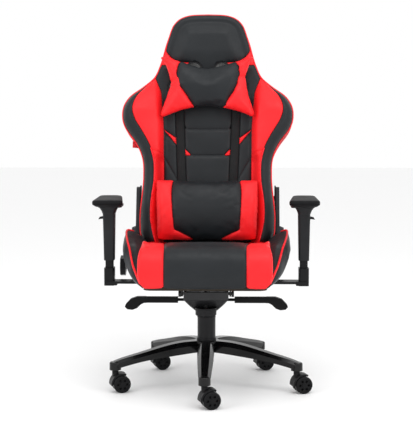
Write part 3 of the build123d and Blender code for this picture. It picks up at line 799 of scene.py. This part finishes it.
def backrest_rear():
    """Rear of the backrest: three long panels with a yoke over the openings."""
    side_seam = [(0.105, 0.041, 0), (0.115, 0.25, 0), (0.150, 0.42, 0), (0.150, 0.52, 0), (0.112, 0.582, 0)]
    side_seam = curve_through(side_seam, STEP)
    head_seam = curve_through([(0.059, 0.690, 0), (0.068, 0.76, 0), (0.075, 0.876, 0)], STEP)
    halves = both([side_seam, head_seam])
    yoke = [line_2d((-0.05, 0.60), (0.05, 0.60))]
    spots = mirrored_spots((0.20, 0.45), (0.10, 0.80), (0.18, 0.15)) + [(0, 0.3), (0, 0.65), (0, 0.8)]
    patches, shaped = sewn_skin(
        halves + yoke, {"rear": spots}, rear_form, OUTLINE_LOOP, both([slot_loop()]), dip=-0.003, puff=-0.003
    )
    obj = patch_object("backrest_rear", patches["rear"], shaped, "back_board", flip=True)
    place(obj, "backrest", "back_board")


def backrest_rim():
    """Side wall of the backrest between its front and rear pipings."""
    verts, faces = [], []
    rings = 7
    loop = OUTLINE_LOOP
    count = len(loop)
    for i, p in enumerate(loop):
        before, after = loop[i - 1], loop[(i + 1) % count]
        along = (after - before).normalized()
        outward = Vector((along.y, -along.x, 0))
        front = front_form(p.x, p.y)
        rear = rear_form(p.x, p.y)
        for k in range(rings):
            t = k / (rings - 1)
            bulge = 0.004 * math.sin(math.pi * t) - 0.0012
            out = front + (rear - front) * t
            q = p + outward * bulge
            verts.append(back_point(q.x, q.y, out))
    for i in range(count):
        j = (i + 1) % count
        for k in range(rings - 1):
            a, b = i * rings + k, j * rings + k
            faces.append((a, a + 1, b + 1, b))
    obj = make_object("backrest_rim", verts, faces, "black_leather")
    place(obj, "backrest", "black_leather")
    for name, form in (("front", front_form), ("rear", rear_form)):
        line = [back_point(p.x, p.y, form(p.x, p.y)) for p in loop]
        cord(f"backrest_piping_{name}", line, 0.0037, "red_piping", "backrest", "red_leather", closed=True)


# ---------------------------------------------------------------- stuffed pillows


CLOTH_PRESSURE = 4.0
CLOTH_SHRINK = 0.045
CLOTH_STEPS = 16
PATTERN_SHARE = 0.82  # how far the sewn pattern, not the cloth, says where a point is across and along


def inflate(obj, seam_group):
    """Blows the sewn skins up with cloth pressure, without gravity, so that they tighten at the seams."""
    cloth = obj.modifiers.new("cloth", "CLOTH")
    cloth.settings.quality = 6
    cloth.settings.mass = 0.25
    cloth.settings.tension_stiffness = 18
    cloth.settings.compression_stiffness = 18
    cloth.settings.bending_stiffness = 0.4
    cloth.settings.use_pressure = True
    cloth.settings.uniform_pressure_force = CLOTH_PRESSURE
    cloth.settings.effector_weights.gravity = 0
    cloth.settings.vertex_group_shrink = seam_group
    cloth.settings.shrink_min = 0
    cloth.settings.shrink_max = CLOTH_SHRINK
    cloth.collision_settings.use_collision = False
    cloth.point_cache.frame_start = 1
    cloth.point_cache.frame_end = CLOTH_STEPS
    for step in range(1, CLOTH_STEPS + 1):
        SCENE.frame_set(step)
    apply_modifiers(obj)
    SCENE.frame_set(1)


def pattern_edge(outline):
    """Edge of a pillow's pattern as a closed flat line."""
    return curve_through([(x * MM, w * MM, 0) for x, w in outline], STEP, closed=True)[:-1]


def pucker_depth(p, puckers):
    """How far the short creases that run in from the edge press the cover down at a place."""
    depth = 0.0
    for x0, w0, x1, w1, deep, width in puckers:
        a, b = Vector((x0, w0, 0)) * MM, Vector((x1, w1, 0)) * MM
        span = b - a
        share = min(1.0, max(0.0, (p - a).dot(span) / span.length_squared))
        away = (p - a - span * share).length
        depth += deep * MM * (1 - 0.75 * share) * math.exp(-(away / (width * MM)) ** 2)
    return depth


def fitted(coords, low, high):
    """Scales the coordinates so that they fill the box between low and high."""
    for axis in range(3):
        least = min(c[axis] for c in coords)
        most = max(c[axis] for c in coords)
        for c in coords:
            c[axis] = low[axis] + (c[axis] - least) * (high[axis] - low[axis]) / (most - least)


def stuffed(name, body, outline, seams, seeds, half, centre, low, high, puckers):
    """Two skins cut from one pattern, joined at the edge and stuffed; split by the leather's colour."""
    loop = pattern_edge(outline)
    lines = [resample([Vector((x * MM, w * MM, 0)) for x, w in seam], STEP) for seam in seams]
    lines = snapped(lines, loop, 0.02)
    patches, shaped = sewn_skin(lines, seeds, lambda x, w: 0.0, loop, dip=0.0, puff=0.0)
    rim = finder(loop)
    sewn = finder([p for line in lines for p in line])
    used = sorted({i for patch in patches.values() for face in patch for i in face})
    flat = [Vector((shaped[i][0], shaped[i][1], 0)) for i in used]
    on_rim = [rim.find(p)[2] < 1e-5 for p in flat]
    front = {old: new for new, old in enumerate(used)}
    back, extra = {}, []
    for new, old in enumerate(used):
        if on_rim[new]:
            back[old] = new
        else:
            back[old] = len(used) + len(extra)
            extra.append(new)
    local = [(p.x, p.y, centre + half(p.x, p.y)) for p in flat]
    local += [(flat[i].x, flat[i].y, centre - half(flat[i].x, flat[i].y)) for i in extra]
    pattern = flat + [flat[i] for i in extra]
    faces, owners = [], []
    for finish, patch in patches.items():
        for face in patch:
            faces.append(tuple(front[i] for i in face))
            faces.append(tuple(back[i] for i in reversed(face)))
            owners += [finish, finish]
    work = make_object(name + "_work", [back_point(*v) for v in local], faces, "red_leather")
    group = work.vertex_groups.new(name="seam")
    for i, p in enumerate(pattern):
        close = min(rim.find(p)[2], sewn.find(p)[2])
        group.add([i], math.exp(-(close / 0.006) ** 2), "REPLACE")
    inflate(work, "seam")
    work.data.update()
    points = [v.co - BACK_FOOT for v in work.data.vertices]
    # the pattern keeps the seams where they're sewn; the cloth gives the fullness and the folds
    held, free = PATTERN_SHARE, 1 - PATTERN_SHARE
    coords = [
        [free * p.x + held * flat_p.x, free * p.dot(UP) + held * flat_p.y, p.dot(OUT)]
        for p, flat_p in zip(points, pattern)
    ]
    fitted(coords, low, high)
    normals = [Vector(v.normal) for v in work.data.vertices]
    final = []
    for i, (c, p) in enumerate(zip(coords, pattern)):
        is_front = i < len(used)
        dip = 0.0030 * math.exp(-(sewn.find(p)[2] / 0.0038) ** 2)
        if is_front:
            dip += pucker_depth(p, puckers)
        edge = rim.find(p)[2]
        wrinkle = noise.noise(Vector((p.x * 55, p.y * 55, 3.7 if is_front else 9.1)))
        dip += 0.0011 * wrinkle * math.exp(-(edge / 0.03) ** 2)
        final.append(back_point(*c) - normals[i] * dip)
    bpy.data.objects.remove(work)
    shown = []
    for finish in patches:
        mine = [face for face, owner in zip(faces, owners) if owner == finish]
        ids = sorted({i for face in mine for i in face})
        index = {old: new for new, old in enumerate(ids)}
        part_faces = [tuple(index[i] for i in face) for face in mine]
        obj = make_object(f"{name}_{finish}", [final[i] for i in ids], part_faces, finish)
        thickened(obj, 0.0012)
        obj.data.shade_smooth()
        place(obj, body, finish)
        shown.append(obj)
    return shown


def edge_half(loop, thick, reach):
    """Half thickness that rises from the sewn edge like a cushion's cross-section."""
    tree = finder(loop)

    def half(x, w):
        t = 1 - min(1.0, tree.find(Vector((x, w, 0)))[2] / reach)
        return 0.0004 + thick * max(0.0, 1 - t * t) ** 0.5

    return half


NECK_OUTLINE = [
    (-163, 713), (-132, 705), (-99, 696), (-55, 683), (-6, 671), (50, 681), (101, 694), (130, 703),
    (160, 714), (164, 705), (152, 688), (142, 655), (138, 630), (143, 595), (154, 555), (167, 515),
    (166, 500), (155, 496), (130, 507), (84, 520), (30, 529), (-11, 530), (-60, 526), (-100, 516),
    (-137, 502), (-160, 494), (-169, 500), (-167, 515), (-156, 548), (-144, 583), (-136, 608),
    (-137, 630), (-147, 668), (-158, 693), (-169, 707),
]
NECK_SEAMS = [
    [(-99, 696), (-108, 676), (-112, 653), (-109, 630), (-102, 609.6), (-91, 590), (-80, 574), (-49, 528)],
    [(102, 694), (112, 673), (116, 650), (113, 629), (106, 609.6), (95, 588), (84, 570), (58, 526)],
]
LUMBAR_OUTLINE = [
    (-176, 262), (-120, 262), (0, 262), (120, 262), (172, 261), (180, 254), (182, 228), (183, 198),
    (181, 150), (178, 100), (175, 62), (168, 52), (120, 47), (0, 45), (-120, 47), (-170, 52),
    (-176, 62), (-179, 100), (-182, 150), (-184, 198), (-183, 228), (-182, 254),
]
LUMBAR_SEAMS = [
    [(-121, 262), (-124, 245), (-126, 225), (-125, 190), (-122, 140), (-115, 84), (-60, 53), (-50, 46)],
    [(117.5, 262), (120, 245), (122, 225), (121.5, 190), (119, 140), (115, 84), (60, 53), (50, 46)],
]


def pillows():
    """Neck and lumbar pillow: red ends, black middle."""
    parts = stuffed(
        "neck_pillow_cover", "neck_cushion", NECK_OUTLINE, NECK_SEAMS,
        {"red_leather": [(-0.14, 0.55), (0.14, 0.55)], "black_leather": [(0.0, 0.60)]},
        edge_half(pattern_edge(NECK_OUTLINE), 0.030, 0.075), 0.050,
        (-0.169, 0.494, 0.013), (0.167, 0.714, 0.088),
        puckers=[
            (-137, 622, -104, 628, 4.0, 4.5), (139, 640, 112, 634, 4.0, 4.5),
            (-136, 600, -128, 640, 2.0, 3.0), (-150, 690, -128, 676, 2.2, 5.0),
            (150, 690, 128, 676, 2.2, 5.0), (-60, 527, -52, 548, 1.8, 4.0), (66, 524, 58, 546, 1.8, 4.0),
            (0, 672, 0, 655, 1.6, 8.0), (140, 655, 128, 600, 2.4, 3.5),
        ],
    )
    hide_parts("neck_pillow")

    def barrel(x, w):
        across = 1 - min(1.0, (0.183 - abs(x)) / 0.030)
        around = min(1.0, abs(w - 0.154) / 0.1085)
        return 0.0004 + 0.042 * max(0.0, 1 - around ** 2.3) ** 0.5 * max(0.0, 1 - across * across) ** 0.4

    pinches = []
    for side in (1, -1):
        for w in (75, 96, 118, 139, 160, 182, 204, 226, 246):
            pinches.append((side * 182, w, side * (171 - w % 5), w + 3, 1.7, 2.6))
    parts = stuffed(
        "lumbar_pillow_cover", "lumbar_cushion", LUMBAR_OUTLINE, LUMBAR_SEAMS,
        {"red_leather": [(-0.15, 0.15), (0.15, 0.15)], "black_leather": [(0.0, 0.15)]},
        barrel, 0.057, (-0.183, 0.047, 0.008), (0.181, 0.263, 0.106), puckers=pinches,
    )
    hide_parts("lumbar_pillow")


# ---------------------------------------------------------------- seat

SEAT_SIDE = [  # side view of the seat's padding, from the top at the rear round the front to the bottom
    (0.178, 0.470), (0.120, 0.484), (0.050, 0.495), (-0.030, 0.5035), (-0.100, 0.5100), (-0.160, 0.5145),
    (-0.198, 0.5138), (-0.224, 0.5075), (-0.243, 0.495), (-0.256, 0.476), (-0.263, 0.451), (-0.2655, 0.428),
    (-0.2650, 0.405), (-0.2620, 0.391), (-0.2540, 0.3862), (-0.20, 0.3856), (-0.05, 0.3856), (0.178, 0.3856),
]
SEAT_HALF = [  # height and half width of the padding
    (0.3856, 0.203), (0.398, 0.2145), (0.42, 0.221), (0.46, 0.2225), (0.50, 0.2205), (0.522, 0.214),
]
SEAM_SHARE = 0.62  # where the seams between red and black are, as a share of the half width
STITCHED_SHARE = 0.72  # of a seam's length, from the top at the rear, is top-stitched
SEAM_FRONT = 0.1365
SEAM_REAR = 0.149


def seat_grid():
    """Shares of the half width at which there are columns, and rows of points round the padding."""
    side = curve_through([(0, y, z) for y, z in SEAT_SIDE], 0.0055)
    half_at = profile(SEAT_HALF)
    columns = set()
    x = 0.0
    while x < 0.9999:
        columns.add(round(x, 4))
        x += 0.0245
    for near in (-0.026, -0.017, -0.009, 0.0, 0.009, 0.017, 0.026):
        columns.add(round(SEAM_SHARE + near, 4))
    columns |= {0.97, 0.982, 0.991, 1.0}
    columns = sorted(columns)
    columns = [-c for c in reversed(columns[1:])] + columns
    rows = []
    for i, p in enumerate(side):
        along = (side[min(i + 1, len(side) - 1)] - side[max(i - 1, 0)]).normalized()
        normal = Vector((0, along.z, -along.y))
        row = []
        seam_x = SEAM_FRONT + (SEAM_REAR - SEAM_FRONT) * smoothstep(-0.24, 0.06, p.y)
        half = half_at(p.z)
        for c in columns:
            beyond = max(0.0, abs(c) - SEAM_SHARE) / (1 - SEAM_SHARE)
            across = min(abs(c) / SEAM_SHARE, 1.0) * seam_x + beyond * (half - seam_x)
            edge = 0.012 * (1 - math.sqrt(max(0.0, 1 - max(0.0, (abs(c) - 0.945) / 0.055) ** 2)))
            point = Vector((math.copysign(across, c), p.y, p.z)) - normal * edge
            top = smoothstep(0.50, 0.512, p.z) * smoothstep(-0.19, 0.02, p.y)
            point.z += 0.026 * smoothstep(0.86, 1.0, abs(c)) * top
            seam = abs(across - seam_x)
            lift = 0.0042 * (1 - math.exp(-seam / 0.024)) - 0.0034 * math.exp(-(seam / 0.0038) ** 2)
            ripple = noise.noise(Vector((c * 9, p.y * 21, p.z * 21)))
            crimp = noise.noise(Vector((c * 30, p.y * 60, p.z * 60 + 5))) * math.exp(-seam / 0.02)
            lift += 0.0011 * ripple + 0.0009 * crimp
            crown = 0.004 * (1 - c * c) * smoothstep(0.40, 0.44, p.z)
            row.append(point + normal * (lift + crown))
        rows.append(row)
    return columns, rows


def seat_cover():
    """Seat padding in three panels: red, black, red."""
    columns, rows = seat_grid()
    seam_column = min(range(len(columns)), key=lambda k: abs(columns[k] - SEAM_SHARE))
    other = len(columns) - 1 - seam_column
    for name, finish, spans in (
        ("middle", "black_leather", [(other, seam_column)]),
        ("sides", "red_leather", [(0, other), (seam_column, len(columns) - 1)]),
    ):
        verts, faces = [], []
        for first, last in spans:
            start = len(verts)
            width = last - first + 1
            for row in rows:
                verts += row[first:last + 1]
            for r in range(len(rows) - 1):
                for c in range(width - 1):
                    a = start + r * width + c
                    faces.append((a, a + width, a + width + 1, a + 1))
            # close the outer end of the red panels
            for column, flip in ((0, False), (width - 1, True)):
                if name == "sides" and (first + column) in (0, len(columns) - 1):
                    ring = [start + r * width + column for r in range(len(rows))]
                    faces.append(tuple(ring if flip else reversed(ring)))
        obj = make_object(f"seat_cover_{name}", verts, faces, finish)
        place(obj, "seat", finish)
        if name == "middle":
            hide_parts("seat_cushion")
    for k, side in ((seam_column, 1), (other, -1)):
        for step, finish in ((1, "red_thread"), (-1, "black_thread")):
            column = [row[k + step * side] for row in rows]
            dense = []
            line = resample(column[: int(len(column) * STITCHED_SHARE)], STITCH_STEP)
            for i, p in enumerate(line):
                along = (line[min(i + 1, len(line) - 1)] - line[max(i - 1, 0)]).normalized()
                dense.append((p, Vector((0, along.z, -along.y))))
            obj = stitches(f"seat_stitches_{'left' if side > 0 else 'right'}_{finish}", dense, finish)
            place(obj, "seat", "red_leather" if finish == "red_thread" else "black_leather")


BOLSTER = [  # y, then ridge (x, z), bulge (x, z) and foot (x, z) of the bolster's section
    (-0.2615, 0.2125, 0.4000, 0.2150, 0.3960, 0.203),
    (-0.245, 0.2210, 0.4140, 0.2270, 0.4040, 0.207),
    (-0.225, 0.2300, 0.4310, 0.2400, 0.4150, 0.212),
    (-0.200, 0.2400, 0.4500, 0.2520, 0.4280, 0.214),
    (-0.150, 0.2510, 0.4760, 0.2680, 0.4440, 0.218),
    (-0.100, 0.2600, 0.4970, 0.2795, 0.4580, 0.222),
    (-0.050, 0.2700, 0.5130, 0.2875, 0.4720, 0.225),
    (0.000, 0.2780, 0.5275, 0.2925, 0.4850, 0.227),
    (0.050, 0.2825, 0.5375, 0.2925, 0.4930, 0.228),
    (0.095, 0.2800, 0.5390, 0.2840, 0.4930, 0.228),
    (0.136, 0.2660, 0.5310, 0.2690, 0.4880, 0.226),
]
BOLSTER_LOW = 0.388


def bolster(side_name):
    """Seat bolster: sloping inner face, piped ridge, bulging outer panel and an under-cut."""
    side = SIDES[side_name]
    at = [profile([(row[0], row[k]) for row in BOLSTER]) for k in range(1, 6)]
    ys = [BOLSTER[0][0] + (BOLSTER[-1][0] - BOLSTER[0][0]) * i / 56 for i in range(57)]
    verts, ridge = [], []
    for y in ys:
        rx, rz, bx, bz, fx = (f(y) for f in at)
        inner_top = min(rz - 0.004, 0.497 - 0.10 * max(0.0, -0.20 - y))
        shape = [
            (0.2005, BOLSTER_LOW), (0.2080, 0.5 * (BOLSTER_LOW + inner_top)), (0.2150, inner_top),
            (0.50 * (0.2150 + rx), 0.52 * rz + 0.48 * inner_top + 0.0035), (rx - 0.004, rz - 0.001),
            (rx, rz), (rx + 0.0035, rz - 0.004), (0.35 * rx + 0.65 * bx, 0.62 * rz + 0.38 * bz), (bx, bz),
            (bx - 0.25 * (bx - fx), 0.45 * bz + 0.55 * BOLSTER_LOW), (fx, 0.3865),
        ]
        ring = []
        for a, b, steps in zip(shape, shape[1:], (3, 4, 6, 6, 1, 1, 5, 6, 6, 5)):
            for k in range(steps):
                ring.append((a[0] + (b[0] - a[0]) * k / steps, a[1] + (b[1] - a[1]) * k / steps))
        ring.append(shape[-1])
        for x, z in ring:
            wave = 0.0012 * noise.noise(Vector((x * 40, y * 26, z * 40 + 11 * side)))
            verts.append(Vector((side * (x + wave), y, z + wave)))
        ridge.append(Vector((side * (rx + 0.0005), y, rz + 0.0015)))
    faces = ring_faces(len(ring), len(ys), flip=side < 0)
    obj = make_object(f"seat_bolster_cover_{side_name}", verts, faces, "black_leather")
    smooth = obj.modifiers.new("smooth", "SMOOTH")
    smooth.factor = 0.5
    smooth.iterations = 3
    apply_modifiers(obj)
    obj.data.shade_smooth()
    place(obj, "seat", "black_leather", f"seat_bolster_{side_name}")
    down = [ridge[-1] + Vector((-0.004 * side, 0.004, -0.02 * k)) for k in range(1, 6)]
    cord(f"seat_bolster_piping_{side_name}", ridge + down, 0.0036, "red_piping", "seat", "red_leather")
    foot = [Vector((side * (f_x + 0.001), y, 0.3875)) for y, f_x in ((y, at[4](y)) for y in ys)]
    cord(f"seat_bolster_hem_{side_name}", foot, 0.0022, "black_leather", "seat", "black_leather")


# ---------------------------------------------------------------- sewing on the backrest


def backrest_sewing(halves):
    """Top-stitching beside the backrest's main seams, and the inner pipings."""
    names = [
        "crest", "inner", "strip_out", "strip_in", "wing_seam", "sliver", "sliver_low", "diagonal", "tri",
        "tri_low", "tick", "dome", "cheek",
    ]
    for offset, suffix in ((0, "left"), (len(names), "right")):
        sign = 1 if suffix == "left" else -1
        lines = dict(zip(names, halves[offset:offset + len(names)]))
        for name, shift, finish in (
            ("crest", 0.0032, "red_thread"), ("inner", -0.0032, "red_thread"),
            ("strip_out", -0.003, "black_thread"), ("strip_in", 0.003, "black_thread"),
            ("dome", 0.0032, "black_thread"), ("wing_seam", 0.003, "red_thread"),
        ):
            row = front_row(beside(lines[name], shift * sign)[1:-1])
            obj = stitches(f"backrest_stitches_{name}_{suffix}", row, finish)
            place(obj, "backrest", "red_leather" if finish == "red_thread" else "black_leather")
        low = [p for p in lines["crest"] if p.y < 0.385]
        cord(
            f"backrest_inner_piping_{suffix}", [p for p, _ in front_row(low, 0.0004)], 0.0026, "red_piping",
            "backrest", "red_leather",
        )


def side_tag():
    """Small blank woven label sewn into the side seam on the sitter's right."""
    w = 0.402
    edge = outline_at(w)
    verts, faces = [], []
    for k in range(9):
        t = k / 8
        x = -(edge - 0.004) - 0.022 * t
        lift = -0.030 + 0.004 * math.sin(t * 3.0)
        for along in (-0.012, 0.012):
            verts.append(back_point(x, w + along + 0.002 * t, lift))
    for k in range(8):
        a = 2 * k
        faces.append((a, a + 2, a + 3, a + 1))
    tag = make_object("side_tag", verts, faces, "label_red")
    thickened(tag, 0.0009)
    place(tag, "backrest", "red_leather")


# ---------------------------------------------------------------- arm pads

PAD_CORNERS = [(0.304, 0.130), (0.385, 0.130), (0.387, -0.120), (0.280, -0.120)]
PAD_LEVELS = [  # margin in from the plan, and height, from the underside's middle round to the top's
    (0.0300, 0.0004), (0.0125, 0.0), (0.0108, 0.0006), (0.0012, 0.0070), (0.0004, 0.0084), (0.0015, 0.0089),
    (0.0015, 0.0096), (0.0002, 0.0102), (0.0, 0.0150), (0.0006, 0.0180), (0.0021, 0.0204), (0.0047, 0.0220),
    (0.0088, 0.0230), (0.0160, 0.0235), (0.0290, 0.0237),
]


def pad_ring(margin):
    """Plan of the arm pad moved in by a margin, with rounded corners."""
    (rear_in, rear), (rear_out, _), (front_out, front), (front_in, _) = PAD_CORNERS
    corners = [
        Vector((rear_in + margin, rear - margin)), Vector((rear_out - margin, rear - margin)),
        Vector((front_out - margin, front + margin)), Vector((front_in + margin, front + margin)),
    ]
    reach = max(0.006, 0.026 - 0.6 * margin)
    ring = []
    for i, corner in enumerate(corners):
        start = corner + (corners[i - 1] - corner).normalized() * reach
        end = corner + (corners[(i + 1) % 4] - corner).normalized() * reach
        for k in range(11):
            t = k / 10
            ring.append(start * (1 - t) ** 2 + corner * 2 * t * (1 - t) + end * t * t)
        following = corners[(i + 1) % 4] + (corner - corners[(i + 1) % 4]).normalized() * reach
        ring += [end.lerp(following, k / 9) for k in range(1, 9)]
    return ring


def arm_pad(side_name):
    """Arm pad: bevelled underside, parting groove and a soft top with rounded shoulders."""
    side = SIDES[side_name]
    node = f"arm_pad_{side_name}"
    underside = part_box(node)[0][2]
    verts = []
    for margin, height in PAD_LEVELS:
        verts += [Vector((side * p.x, p.y, underside + height)) for p in pad_ring(margin)]
    faces = ring_faces(len(verts) // len(PAD_LEVELS), len(PAD_LEVELS), flip=side > 0)
    pad = make_object(f"arm_pad_cover_{side_name}", verts, faces, "pad_soft")
    place(pad, f"arm_top_{side_name}", "pad_soft", node)


# ---------------------------------------------------------------- run

camera()
studio()
dress_cad()
front_lines = backrest_front()
backrest_rear()
backrest_rim()
backrest_sewing(front_lines)
side_tag()
pillows()
seat_cover()
for side_name in SIDES:
    bolster(side_name)
    arm_pad(side_name)
